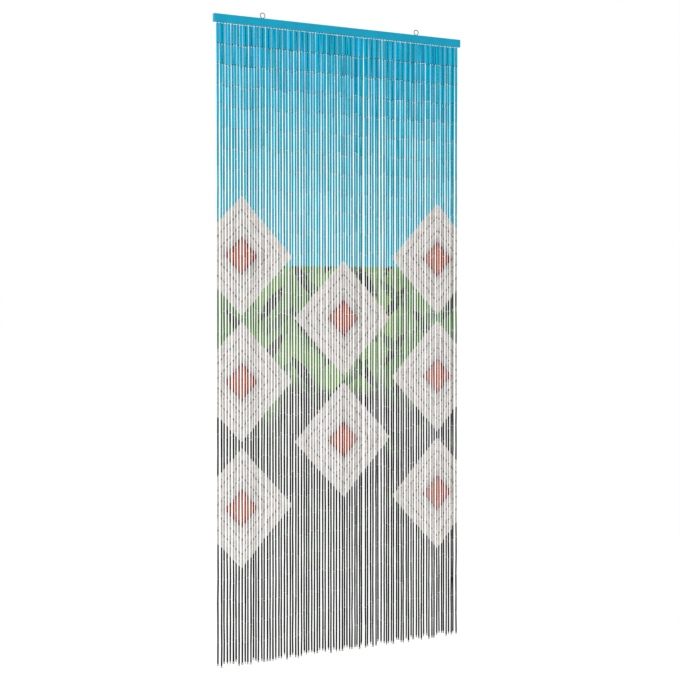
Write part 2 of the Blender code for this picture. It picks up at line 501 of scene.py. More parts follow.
# Painted design: three soft zones of colour, at heights above the bar's top face
GREEN_TOP = -0.77
DARK_TOP = -1.17
ZONE_EDGE = 0.003
ZONE_BLEND = 0.05
ZONE_WANDER = 0.4
SEA_GREEN_RAMP = (-0.10, -0.42)
PATCH_SCALE = 5.0
PATCH_DETAIL = 3.0
LIGHT_GREEN = (0.187, 0.345, 0.088)
LIGHT_GREEN_RAMP = (0.40, 0.62)
BLACK_GREEN = (0.030, 0.048, 0.020)
BLACK_GREEN_RAMP = (0.52, 0.70, 0.0, 0.7)

# A half-drop repeat of nested diamonds, with shares from 0 in the middle to 1 at the edge
HALF_DROP = 0.5
DIAMOND_ACROSS = 0.36
DIAMOND_DROP = 0.390
DIAMOND_START = -0.935
DIAMOND_FIRST = -0.60
DIAMOND_LAST = -1.65
DIAMOND_HALF_WIDTH = 0.178
DIAMOND_HALF_HEIGHT = 0.188
DIAMOND_EDGE_RAMP = (1.0, 0.98)
DIAMOND_LINES = (0.52, 0.76)
LINE_RAMP = (0.0, 0.022, 0.9, 0.0)
BRUSH_SCALE = 55.0
BRUSH_RAMP = (0.40, 0.62, 0.25, 0.0)
CHALK_SHADE = (0.130, 0.130, 0.130)
CORE_SHARE = 0.33
CORE_EDGE_RAMP = (CORE_SHARE, CORE_SHARE - 0.015)
CORE_HALO_RAMP = (CORE_SHARE, 0.50, 0.35, 0.0)
CORE_RIM_RAMP = (CORE_SHARE * 0.55, CORE_SHARE)
CORE_RIM = (0.180, 0.016, 0.008)
CORE_LIGHT = (0.530, 0.140, 0.022)
SPECKLE_SCALE = 260.0
SPECKLE_RAMP = (0.45, 0.65)

# Two layers of slanted dashes between and behind the diamonds, paler further down
DASH_LENGTH = 0.075
DASH_WIDTH = 0.017
DASH_EDGE_RAMP = (0.0, 0.002)
DASH_FADE_RAMP = (-1.35, -1.95, 1.0, 0.4)
DASH_COLUMNS = ("across", "drop", "slope", "start")
DASH_LAYERS = {
    "dark": (0.113, 0.148, math.radians(52), 0.03),
    "green": (0.137, 0.171, math.radians(-40), 0.09),
}
DARK_DASH = (0.007, 0.020, 0.007)
GREEN_DASH_HIGH = (0.035, 0.120, 0.025)
GREEN_DASH_LOW = (0.028, 0.060, 0.022)


def half_drop_cell(shader, across, up, width, drop):
    """Place from the middle of a cell in a half-drop repeat, and 1 in every second column."""
    column = shader.math("ROUND", shader.math("DIVIDE", across, width))
    odd = shader.math("ABSOLUTE", shader.math("MODULO", column, 2.0))
    level = shader.math("ADD", shader.math("DIVIDE", up, drop), shader.math("MULTIPLY", odd, HALF_DROP))
    row = shader.math("ROUND", level)
    local_x = shader.math("SUBTRACT", across, shader.math("MULTIPLY", column, width))
    local_z = shader.math("MULTIPLY", shader.math("SUBTRACT", level, row), drop)
    return local_x, local_z, odd


def diamond_masks(shader, across, up):
    """Cover and shade of the diamonds, then cover and shade of their cores."""
    from_start = shader.math("SUBTRACT", up, DIAMOND_START)
    local_x, local_z, _ = half_drop_cell(shader, across, from_start, DIAMOND_ACROSS, DIAMOND_DROP)
    centre = shader.math("SUBTRACT", up, local_z)
    inside = shader.math(
        "MULTIPLY",
        shader.math("LESS_THAN", centre, DIAMOND_FIRST),
        shader.math("GREATER_THAN", centre, DIAMOND_LAST),
    )
    share = shader.math(
        "ADD",
        shader.math("DIVIDE", shader.math("ABSOLUTE", local_x), DIAMOND_HALF_WIDTH),
        shader.math("DIVIDE", shader.math("ABSOLUTE", local_z), DIAMOND_HALF_HEIGHT),
    )
    cover = shader.math("MULTIPLY", shader.ramp(share, *DIAMOND_EDGE_RAMP), inside)
    brushed = shader.noise(shader.join(across, 0.0, up), BRUSH_SCALE)
    halo = shader.ramp(share, *CORE_HALO_RAMP)
    shade = shader.math("ADD", halo, shader.ramp(brushed, *BRUSH_RAMP))
    for line in DIAMOND_LINES:
        off_line = shader.math("ABSOLUTE", shader.math("SUBTRACT", share, line))
        shade = shader.math("ADD", shade, shader.ramp(off_line, *LINE_RAMP), clamp=True)
    core = shader.math("MULTIPLY", shader.ramp(share, *CORE_EDGE_RAMP), inside)
    return cover, shade, core, shader.ramp(share, *CORE_RIM_RAMP)


def dash_mask(shader, across, up, layer):
    """Cover of one layer of the slanted dashes that lie between and behind the diamonds."""
    dash = dict(zip(DASH_COLUMNS, DASH_LAYERS[layer]))
    from_start = shader.math("ADD", across, dash["start"])
    local_x, local_z, odd = half_drop_cell(shader, from_start, up, dash["across"], dash["drop"])
    mirror = shader.math("SUBTRACT", 1.0, shader.math("MULTIPLY", odd, 2.0))
    local_x = shader.math("MULTIPLY", local_x, mirror)
    along = shader.math(
        "ADD",
        shader.math("MULTIPLY", local_x, math.cos(dash["slope"])),
        shader.math("MULTIPLY", local_z, math.sin(dash["slope"])),
    )
    beside = shader.math(
        "SUBTRACT",
        shader.math("MULTIPLY", local_z, math.cos(dash["slope"])),
        shader.math("MULTIPLY", local_x, math.sin(dash["slope"])),
    )
    share = shader.math("DIVIDE", along, DASH_LENGTH)
    width = shader.math("SUBTRACT", 1.0, shader.math("MULTIPLY", share, share))
    gap = shader.math(
        "SUBTRACT", shader.math("MULTIPLY", width, DASH_WIDTH), shader.math("ABSOLUTE", beside)
    )
    return shader.ramp(gap, *DASH_EDGE_RAMP)


def painted_ground(shader, across, up):
    """Turquoise, green and near black, one under another, with dashes in the lower two."""
    paint = colours()
    upper = shader.mix(shader.attribute("bead_hue"), tuple(paint.turquoise), tuple(paint.teal))
    lower_part = shader.ramp(up, *SEA_GREEN_RAMP, smooth=False)
    upper = shader.mix(lower_part, upper, tuple(paint.sea_green))
    patch = shader.noise(shader.join(across, 0.0, up), PATCH_SCALE, PATCH_DETAIL)
    green = shader.mix(shader.ramp(patch, *LIGHT_GREEN_RAMP), tuple(paint.green), LIGHT_GREEN)
    dark = shader.mix(shader.ramp(patch, *BLACK_GREEN_RAMP), tuple(paint.near_black), BLACK_GREEN)
    green_share = shader.ramp(up, GREEN_TOP + ZONE_EDGE, GREEN_TOP - ZONE_EDGE)
    wander = shader.math("MULTIPLY", shader.math("SUBTRACT", patch, 0.5), ZONE_WANDER)
    ragged = shader.math("ADD", up, wander)
    dark_share = shader.ramp(ragged, DARK_TOP + ZONE_BLEND, DARK_TOP - ZONE_BLEND)
    ground = shader.mix(green_share, upper, green)
    ground = shader.mix(dark_share, ground, dark)

    zone = shader.math("MULTIPLY", green_share, shader.ramp(up, *DASH_FADE_RAMP))
    dark_dash = shader.math("MULTIPLY", dash_mask(shader, across, up, "dark"), zone)
    ground = shader.mix(dark_dash, ground, DARK_DASH)
    green_dash = shader.math("MULTIPLY", dash_mask(shader, across, up, "green"), zone)
    dash_colour = shader.mix(dark_share, GREEN_DASH_HIGH, GREEN_DASH_LOW)
    return shader.mix(green_dash, ground, dash_colour)


# Matt paint of the beads, with the bamboo's grain under it
BEAD_ROUGHNESS = 0.5
BEAD_GLOSS = 0.12
BEAD_GRAIN_SCALE = (900.0, 900.0, 14.0)
BEAD_GRAIN_DETAIL = 3.0
GRAIN_ROUGHNESS = 0.6
BEAD_WEAR_RAMP = (0.30, 0.70, 0.86, 1.10)
BEAD_TONE_RAMP = (0.0, 1.0, 0.90, 1.09)
STRAND_TONE_RAMP = (0.0, 1.0, 0.94, 1.06)
BEAD_ROUGHNESS_RAMP = (0.2, 0.8, 0.62, 0.42)
BEAD_BUMP = (0.35, 0.0003)


def bead_paint():
    """Matt paint on bamboo: zones, dashes and diamonds, with each bead a little different."""
    paint = colours()
    shader = Shader("painted bamboo", BEAD_ROUGHNESS, gloss=BEAD_GLOSS)
    place = shader.split(shader.coordinates())
    across = shader.math("ADD", place[0], shader.attribute("paint_shift"))
    up = shader.math("ADD", place[2], shader.attribute("paint_slip"))
    ground = painted_ground(shader, across, up)

    cover, shade, core, core_shade = diamond_masks(shader, across, up)
    diamond = shader.mix(shade, tuple(paint.chalk), CHALK_SHADE)
    colour = shader.mix(cover, ground, diamond)
    speckle = shader.noise(shader.join(across, 0.0, up), SPECKLE_SCALE)
    core_colour = shader.mix(shader.ramp(speckle, *SPECKLE_RAMP), tuple(paint.core), CORE_LIGHT)
    core_colour = shader.mix(core_shade, core_colour, CORE_RIM)
    colour = shader.mix(core, colour, core_colour)

    grain_place = shader.coordinates(BEAD_GRAIN_SCALE)
    grain = shader.noise(grain_place, 1.0, BEAD_GRAIN_DETAIL, GRAIN_ROUGHNESS)
    worn = shader.ramp(grain, *BEAD_WEAR_RAMP, smooth=False)
    tone = shader.ramp(shader.attribute("bead_tone"), *BEAD_TONE_RAMP, smooth=False)
    strand_tone = shader.ramp(shader.attribute("strand_tone"), *STRAND_TONE_RAMP, smooth=False)
    level = shader.math("MULTIPLY", shader.math("MULTIPLY", worn, tone), strand_tone)
    level_colour = shader.join(level, level, level)
    colour = shader.mix(1.0, colour, level_colour, blend="MULTIPLY")
    shader.bump(grain, *BEAD_BUMP)
    return shader.finish(colour, shader.ramp(grain, *BEAD_ROUGHNESS_RAMP, smooth=False))


# Sawn ends and bores of the beads, both painted dark as painted shade in the joints and bores
SAWN_ROUGHNESS = 0.8
BORE_ROUGHNESS = 0.9
BARE_GLOSS = 0.1
SAWN_FIBRE_SCALE = (1400.0, 1400.0, 60.0)
SAWN_FIBRE_RAMP = (0.35, 0.65)
# Darker browns of the sawn ends: painted shade in the joints between beads
SAWN_PAINTED_SHADE = (0.022, 0.018, 0.014)
SAWN_FIBRE_SHADE = (0.016, 0.012, 0.009)
SAWN_BUMP = (0.4, 0.0002)
BORE_FIBRE_SCALE = (900.0, 900.0, 30.0)
# Near black browns of the bore: painted shade inside the bead
BORE_DEEP_SHADE = (0.012, 0.009, 0.006)
BORE_FIBRE_SHADE = (0.034, 0.024, 0.014)


def sawn_bamboo():
    """Sawn end of a bead: bare bamboo painted dark brown, a painted shade for the joints between beads.
    """
    shader = Shader("sawn bamboo", SAWN_ROUGHNESS, gloss=BARE_GLOSS)
    fibre = shader.noise(shader.coordinates(SAWN_FIBRE_SCALE), 1.0)
    shaded_end = shader.mix(shader.attribute("bead_tone"), tuple(colours().bamboo), SAWN_PAINTED_SHADE)
    colour = shader.mix(shader.ramp(fibre, *SAWN_FIBRE_RAMP), shaded_end, SAWN_FIBRE_SHADE)
    shader.bump(fibre, *SAWN_BUMP)
    return shader.finish(colour)


def bore_shadow():
    """Inside of a bead, unpainted, painted near black as the shade in its bore, with paler fibres."""
    shader = Shader("bead bore", BORE_ROUGHNESS, gloss=BARE_GLOSS)
    fibre = shader.noise(shader.coordinates(BORE_FIBRE_SCALE), 1.0)
    return shader.finish(shader.mix(fibre, BORE_DEEP_SHADE, BORE_FIBRE_SHADE))


# Drawn wire
ZINC_ROUGHNESS = 0.38
DARK_WIRE_ROUGHNESS = 0.50
WIRE_PATCH_SCALE = 420.0
WIRE_PATCH_DETAIL = 3.0
WIRE_PATCH_RAMP = (0.35, 0.68)
WIRE_LINE_SCALE = (2600.0, 2600.0, 900.0)
WIRE_BUMP = (0.2, 0.0001)
TARNISH_SHARE = 0.55
WIRE_ROUGHNESS_LIMITS = (0.3, 0.7)
SMOOTHER_BY = 0.08
ROUGHER_BY = 0.14


def drawn_wire(name, colour, roughness):
    """Drawn wire with fine drawing lines and darker patches, made once for all its pieces."""
    known = bpy.data.materials.get(name)
    if known:
        return known
    shader = Shader(name, roughness, 1.0)
    patch = shader.noise(shader.coordinates(), WIRE_PATCH_SCALE, WIRE_PATCH_DETAIL)
    fine = shader.noise(shader.coordinates(WIRE_LINE_SCALE), 1.0)
    tarnish = tuple(TARNISH_SHARE * channel for channel in colour)
    shade = shader.mix(shader.ramp(patch, *WIRE_PATCH_RAMP), tuple(colour), tarnish)
    shader.bump(fine, *WIRE_BUMP)
    rough = (roughness - SMOOTHER_BY, roughness + ROUGHER_BY)
    return shader.finish(shade, shader.ramp(patch, *WIRE_ROUGHNESS_LIMITS, *rough))


def zinc_wire():
    """Dull zinc of the screw eyes."""
    return drawn_wire("zinc wire", colours().zinc, ZINC_ROUGHNESS)


def dark_wire():
    """Dark annealed wire of the links, staples and end loops."""
    return drawn_wire("annealed wire", colours().wire, DARK_WIRE_ROUGHNESS)


# Satin paint of the bar, rubbed along its edges and paler near its sawn ends. The last two pairs
# of distances are measured inwards from the bar's long edges and from its ends.
BAR_ROUGHNESS = 0.45
BAR_GLOSS = 0.25
BAR_GRAIN_SCALE = (5.0, 160.0, 160.0)
BAR_GRAIN_DETAIL = 4.0
BAR_GRAIN_RAMP = (0.56, 0.76, 0.0, 0.5)
BAR_GRAIN = (0.010, 0.332, 0.495)
BAR_CLOUD_SCALE = 22.0
BAR_CLOUD_DETAIL = 3.0
BAR_CLOUD_RAMP = (0.3, 0.7)
BAR_CLOUD = (0.016, 0.395, 0.558)
STIPPLE_SCALE = 900.0
STIPPLE_ROUGHNESS_RAMP = (0.3, 0.7, 0.38, 0.52)
GRAIN_HEIGHT = 0.7
STIPPLE_HEIGHT = 0.3
BAR_BUMP = (0.35, 0.0004)
RUBBED_RAMP = (0.48, 0.60)
RUBBED_SHARE = 0.55
RUBBED = (0.190, 0.520, 0.680)
BAR_END_SHARE = 0.7
BAR_END = (0.150, 0.420, 0.520)
RUBBED_FROM, RUBBED_FULL = 0.0016, 0.0002
BAR_END_FROM, BAR_END_FULL = 0.0011, 0.0004


def bar_paint():
    """Satin turquoise paint, rolled on a planed softwood bar whose grain still shows."""
    shader = Shader("bar paint", BAR_ROUGHNESS, gloss=BAR_GLOSS)
    place = shader.split(shader.coordinates())
    grain_place = shader.coordinates(BAR_GRAIN_SCALE)
    grain = shader.noise(grain_place, 1.0, BAR_GRAIN_DETAIL, GRAIN_ROUGHNESS)
    cloud = shader.noise(shader.coordinates(), BAR_CLOUD_SCALE, BAR_CLOUD_DETAIL)
    stipple = shader.noise(shader.coordinates(), STIPPLE_SCALE)
    base = tuple(colours().bar)
    colour = shader.mix(shader.ramp(cloud, *BAR_CLOUD_RAMP), base, BAR_CLOUD)
    colour = shader.mix(shader.ramp(grain, *BAR_GRAIN_RAMP), colour, BAR_GRAIN)
    half = BAR_HEIGHT / 2
    from_middle = shader.math("ABSOLUTE", shader.math("ADD", place[2], half))
    near_edge = shader.ramp(from_middle, half - RUBBED_FROM, half - RUBBED_FULL)
    rubbed = shader.math("MULTIPLY", near_edge, shader.ramp(grain, *RUBBED_RAMP))
    colour = shader.mix(shader.math("MULTIPLY", rubbed, RUBBED_SHARE), colour, RUBBED)
    along = shader.math("ABSOLUTE", place[0])
    near_end = shader.ramp(along, BAR_HIGH[0] - BAR_END_FROM, BAR_HIGH[0] - BAR_END_FULL)
    colour = shader.mix(shader.math("MULTIPLY", near_end, BAR_END_SHARE), colour, BAR_END)
    grain_height = shader.math("MULTIPLY", grain, GRAIN_HEIGHT)
    stipple_height = shader.math("MULTIPLY", stipple, STIPPLE_HEIGHT)
    shader.bump(shader.math("ADD", grain_height, stipple_height), *BAR_BUMP)
    return shader.finish(colour, shader.ramp(stipple, *STIPPLE_ROUGHNESS_RAMP))


def floor_paint():
    """Plain white floor, lit from within like a studio table and as bright as the backdrop."""
    shader = Shader("studio floor", FLOOR_ROUGHNESS, gloss=0.0)
    cloud = shader.noise(shader.coordinates(), FLOOR_CLOUD_SCALE)
    shader.surface.inputs["Emission Color"].default_value = (1.0, 1.0, 1.0, 1.0)
    shader.surface.inputs["Emission Strength"].default_value = FLOOR_GLOW
    return shader.finish(shader.mix(cloud, FLOOR_DARK, FLOOR_LIGHT))


# Beads: their material slots, and the shape of a bead of length and diameter one
BEAD_OUTSIDE, BEAD_END, BEAD_BORE = range(3)
END_FACING = 0.95
BORE_FACING = -0.5
BEAD_TAPER = 0.03
NODE_HEIGHT = 0.05
NODE_SHARE = 0.08
NODE_LENGTH = 0.035
OVAL_SHARE = 0.05
NOMINAL_LENGTH = 0.0588
NOMINAL_DIAMETER = 0.0058


def bead_template(name, with_node):
    """Hollow bead of length and diameter one, turned from its wall's section."""
    size = sizes()
    bore = 0.5 * size.bead_bore_share
    edge = size.bead_chamfer / NOMINAL_DIAMETER
    drop = size.bead_chamfer / NOMINAL_LENGTH
    top, foot = 0.5 + BEAD_TAPER / 2, 0.5 - BEAD_TAPER / 2
    section = [(bore, -0.5), (foot - edge, -0.5), (foot, -0.5 + drop)]
    if with_node:
        section += [(0.5, -NODE_LENGTH), (0.5 + NODE_HEIGHT, 0.0), (0.5, NODE_LENGTH)]
    else:
        section += [(0.5, 0.0)]
    section += [(top, 0.5 - drop), (top - edge, 0.5), (bore, 0.5)]
    bm = bmesh.new()
    points = [bm.verts.new((radius, 0.0, height)) for radius, height in section]
    for start, end in zip(points, points[1:] + points[:1]):
        bm.edges.new((start, end))
    bmesh.ops.spin(
        bm,
        geom=bm.verts[:] + bm.edges[:],
        cent=(0.0, 0.0, 0.0),
        axis=(0.0, 0.0, 1.0),
        angle=2 * math.pi,
        steps=size.bead_sides,
        use_merge=True,
    )
    bmesh.ops.recalc_face_normals(bm, faces=bm.faces)
    for face in bm.faces:
        middle = face.calc_center_median()
        outward = Vector((middle.x, middle.y, 0.0)).normalized()
        face.material_index = BEAD_OUTSIDE
        if abs(face.normal.z) > END_FACING:
            face.material_index = BEAD_END
        elif face.normal.dot(outward) < BORE_FACING:
            face.material_index = BEAD_BORE
    return mesh_from(name, bm)


def wire_ring(bm, radius, wire, steps, sides, height=1.0):
    """Closed wire ring in the XZ plane, hung from the origin, stretched upright by height."""
    made = bmesh.ops.create_circle(bm, segments=sides, radius=wire / 2)
    bmesh.ops.translate(bm, vec=(radius, 0.0, 0.0), verts=made["verts"])
    edges = [edge for edge in bm.edges if edge.verts[0] in made["verts"]]
    bmesh.ops.spin(
        bm,
        geom=made["verts"] + edges,
        cent=(0.0, 0.0, 0.0),
        axis=(0.0, 1.0, 0.0),
        angle=2 * math.pi,
        steps=steps,
        use_merge=True,
    )
    bmesh.ops.scale(bm, vec=(1.0, 1.0, height), verts=bm.verts)
    bmesh.ops.translate(bm, vec=(0.0, 0.0, -radius * height), verts=bm.verts)


def wire_stem(bm, wire, length, sides):
    """Short straight wire that stands on the origin and runs up into a bead's bore."""
    bmesh.ops.create_cone(
        bm,
        cap_ends=True,
        segments=sides,
        radius1=wire / 2,
        radius2=wire / 2,
        depth=length,
        matrix=Matrix.Translation((0.0, 0.0, length / 2)),
    )


# Wire links between the beads, and the larger loop at a strand's foot
STEM_LENGTH = 0.0030
LINK_STEPS = 8
LINK_SIDES = 3
LINK_CLEARANCE = 0.00005
END_STEPS = 12
END_SIDES = 4
END_WIRE = 0.0015


def link_lift():
    """Height of a link's ring above the point where it hooks into its partner."""
    size = sizes()
    return size.link_ring / 2 - size.link_wire - LINK_CLEARANCE


def link_template(name):
    """Small loop at the end of a bead's wire, hooked into its partner at the origin."""
    size = sizes()
    radius = (size.link_ring - size.link_wire) / 2
    bm = bmesh.new()
    wire_ring(bm, radius, size.link_wire, LINK_STEPS, LINK_SIDES)
    wire_stem(bm, size.link_wire, STEM_LENGTH, LINK_SIDES)
    bmesh.ops.translate(bm, vec=(0.0, 0.0, radius + link_lift()), verts=bm.verts)
    return mesh_from(name, bm, WIRE_SHARP_ANGLE)


def end_loop_template(name):
    """Larger closed loop that hangs under the foot of a strand, its stem in the last bead."""
    stretch = LOOP_HEIGHT / LOOP_WIDTH
    bm = bmesh.new()
    wire_ring(bm, (LOOP_WIDTH - END_WIRE) / 2, END_WIRE, END_STEPS, END_SIDES, stretch)
    bmesh.ops.translate(bm, vec=(0.0, 0.0, -END_WIRE / 2 * stretch), verts=bm.verts)
    wire_stem(bm, END_WIRE, STEM_LENGTH, END_SIDES)
    return mesh_from(name, bm, WIRE_SHARP_ANGLE)


def hook_place(top):
    """Origin of the link that stands on the top end of a strand's first bead."""
    return top + Vector((0.0, 0.0, link_lift() + sizes().link_ring / 2))


# Staples under the bar
STAPLE_RADIUS = 0.0013
STAPLE_LEG = 0.0015
STAPLE_STEPS = 6
STAPLE_SIDES = 5


def staple_template(name, sink):
    """Wire staple whose crown hangs below the origin and whose legs run up into the bar."""
    wire = sizes().link_wire
    bm = bmesh.new()
    made = bmesh.ops.create_circle(bm, segments=STAPLE_SIDES, radius=wire / 2)
    bmesh.ops.translate(bm, vec=(STAPLE_RADIUS, 0.0, 0.0), verts=made["verts"])
    first = bm.edges[:]
    spun = bmesh.ops.spin(
        bm,
        geom=made["verts"] + first,
        cent=(0.0, 0.0, 0.0),
        axis=(0.0, 1.0, 0.0),
        angle=math.pi,
        steps=STAPLE_STEPS,
        use_merge=False,
    )
    last = [part for part in spun["geom_last"] if isinstance(part, bmesh.types.BMEdge)]
    for ring in (first, last):
        leg = bmesh.ops.extrude_edge_only(bm, edges=ring)["geom"]
        ends = [part for part in leg if isinstance(part, bmesh.types.BMVert)]
        bmesh.ops.translate(bm, vec=(0.0, 0.0, sink), verts=ends)
    bmesh.ops.holes_fill(bm, edges=bm.edges, sides=0)
    return mesh_from(name, bm, WIRE_SHARP_ANGLE)


# Joints between the beads, each with its own gap and play
PLAY_SEED = 53
GAP_SPREAD = 0.6
TOP_PLAY_SHARE = 0.3


def joint_gap(row, chance):
    """Gap above the bead in one row, which gets narrower further down."""
    size = sizes()
    nominal = size.low_gap + (size.top_gap - size.low_gap) * math.exp(-row / TAPER_BEADS)
    return nominal * (1.0 + chance.uniform(-GAP_SPREAD, GAP_SPREAD))


def plan_joints(plan, chance):
    """Place and gap of a strand's joints, from the staple down to the foot."""
    beads = plan["beads"]
    levels = [beads[0][0] - JOINT_GAP / 2] + [foot + JOINT_GAP / 2 for _, foot in beads]
    joints = []
    for row, level in enumerate(levels):
        play = sizes().sag * (TOP_PLAY_SHARE + (1.0 - TOP_PLAY_SHARE) * row / BEAD_COUNT)
        aside = Vector((chance.uniform(-play, play), chance.uniform(-play, play), 0.0))
        gap = joint_gap(row, chance)
        if row == 0:
            level += (JOINT_GAP - sizes().top_gap) / 2
        if row == BEAD_COUNT:
            level += (gap - JOINT_GAP) / 2
        joints.append((strand_point(plan, level) + aside, gap))
    return joints


def bead_ends(joints):
    """Upper and lower end of each bead between two joints."""
    ends = []
    for (high, high_gap), (low, low_gap) in zip(joints, joints[1:]):
        along = (low - high).normalized()
        ends.append((high + along * (high_gap / 2), low - along * (low_gap / 2)))
    return ends


def upright(high, low):
    """Rotation that stands +Z along the line from the low end to the high end."""
    return (high - low).to_track_quat("Z", "Y").to_matrix().to_4x4()


def strand_groups():
    """Strands in groups of neighbours, with the solid node that each group stands for."""
    plans = plan_strands()
    groups = []
    for start in range(0, STRAND_COUNT, GROUP_SIZE):
        node = "strands_left" if start < STRAND_COUNT // 2 else "strands_right"
        groups.append((start // GROUP_SIZE + 1, plans[start : start + GROUP_SIZE], node))
    return groups


def strand_joints():
    """Joints of every strand, by the strand's number."""
    chance = random.Random(PLAY_SEED)
    return {plan["index"]: plan_joints(plan, chance) for plan in plan_strands()}


# How the paint slips from strand to strand and bead to bead, and the numbers stored with a bead
BEAD_SEED = 77
STRAND_SLIP = 0.0020
BEAD_SLIP = 0.0006
STRAND_HUE_SHARE = 0.6
BEAD_VALUES = ("paint_shift", "paint_slip", "bead_tone", "strand_tone", "bead_hue")

# How links turn about their strand
LINK_SEED = 19
CROSS_SPREAD = 0.4


def place_bead(row, high, low, chance):
    """Kind of one bead, and the transform that lays it between its two ends."""
    spread = chance.uniform(-1.0, 1.0) * sizes().bead_spread
    across = bead_diameter(row) * (1.0 + spread)
    oval = 1.0 + chance.uniform(-OVAL_SHARE, OVAL_SHARE)
    turn = Matrix.Rotation(chance.uniform(0.0, 2 * math.pi), 4, "Z")
    flip = Matrix.Rotation(math.pi * chance.randint(0, 1), 4, "X")
    size = Matrix.Diagonal((across * oval, across / oval, (high - low).length, 1.0))
    kind = "node" if chance.random() < NODE_SHARE else "plain"
    middle = Matrix.Translation((high + low) / 2)
    return kind, middle @ upright(high, low) @ turn @ size @ flip


class CURTAIN_OT_beads(bpy.types.Operator):
    """Make the bamboo beads of every strand"""

    bl_idname = "curtain.beads"
    bl_label = "Bamboo beads"

    def execute(self, context):
        templates = {
            "plain": bead_template("plain bead", False),
            "node": bead_template("bead with node", True),
        }
        materials = (bead_paint(), sawn_bamboo(), bore_shadow())
        joints = strand_joints()
        chance = random.Random(BEAD_SEED)
        for number, plans, node in strand_groups():
            places, values = [], []
            for plan in plans:
                slip = chance.uniform(-STRAND_SLIP, STRAND_SLIP)
                strand_tone = chance.random()
                strand_hue = chance.random()
                for row, (high, low) in enumerate(bead_ends(joints[plan["index"]])):
                    places.append(place_bead(row, high, low, chance))
                    shift = plan["root"] - ((high + low) / 2).x
                    tone = chance.random()
                    hue = chance.random() * (1.0 - STRAND_HUE_SHARE) + strand_hue * STRAND_HUE_SHARE
                    own_slip = slip + chance.uniform(-BEAD_SLIP, BEAD_SLIP)
                    values.append((shift, own_slip, tone, strand_tone, hue))
            mesh, counts = join_copies(f"beads_{number}", templates, places)
            for name, column in zip(BEAD_VALUES, zip(*values)):
                spread_values(mesh, name, counts, column)
            add_piece(f"beads_{number}", mesh, materials, (node,))
        return {"FINISHED"}


class CURTAIN_OT_links(bpy.types.Operator):
    """Make the wire loops that join the beads and close the strands"""

    bl_idname = "curtain.links"
    bl_label = "Wire links"

    def execute(self, context):
        templates = {
            "link": link_template("link loop"),
            "end": end_loop_template("end loop"),
        }
        wire = dark_wire()
        joints = strand_joints()
        chance = random.Random(LINK_SEED)
        flip = Matrix.Rotation(math.pi, 4, "X")
        for number, plans, node in strand_groups():
            places = []
            for plan in plans:
                own = joints[plan["index"]]
                for (above, _), (spot, _), (below, _) in zip(own, own[1:], own[2:]):
                    stand = Matrix.Translation(spot) @ upright(above, below)
                    turn = chance.uniform(0.0, math.pi)
                    cross = turn + math.pi / 2 + chance.uniform(-CROSS_SPREAD, CROSS_SPREAD)
                    places.append(("link", stand @ Matrix.Rotation(turn, 4, "Z")))
                    places.append(("link", stand @ Matrix.Rotation(cross, 4, "Z") @ flip))
                ends = bead_ends(own)
                top = Matrix.Rotation(math.pi / 2, 4, "Z") @ flip
                places.append(("link", Matrix.Translation(hook_place(ends[0][0])) @ top))
                turn = Matrix.Rotation(plan["loop_turn"], 4, "Z")
                places.append(("end", Matrix.Translation(ends[-1][1]) @ turn))
            mesh, _ = join_copies(f"links_{number}", templates, places)
            add_piece(f"links_{number}", mesh, (wire,), (node,))
        return {"FINISHED"}


class CURTAIN_OT_staples(bpy.types.Operator):
    """Make the staples that hold the strands to the underside of the bar"""

    bl_idname = "curtain.staples"
    bl_label = "Staples"

    def execute(self, context):
        size = sizes()
        joints = strand_joints()
        rise = size.link_ring - 1.5 * size.link_wire - LINK_CLEARANCE + STAPLE_RADIUS
        places = []
        for plan in plan_strands():
            top = bead_ends(joints[plan["index"]])[0][0]
            spot = Vector((top.x, top.y, top.z + rise))
            places.append(("staple", Matrix.Translation(spot)))
        sink = BAR_LOW[2] + STAPLE_LEG - places[0][1].translation.z
        templates = {"staple": staple_template("staple", sink)}
        mesh, _ = join_copies("staples", templates, places)
        add_piece("staples", mesh, (dark_wire(),), ("strands_left", "strands_right"))
        return {"FINISHED"}


# Screw eyes, with the sizes and places of the construction model's
EYE_SPACING = 0.562
EYE_ASIDE = -0.0028
EYE_OUTER_DIAMETER = 0.0180
EYE_SHANK_LENGTH = 0.0100
EYE_START_ANGLE = math.radians(12)
EYE_END_ANGLE = math.radians(14)
EYE_GAP = 0.0003
EYE_RING_STEPS = 56
EYE_BEND_STEPS = 8
EYE_SIDES = 14


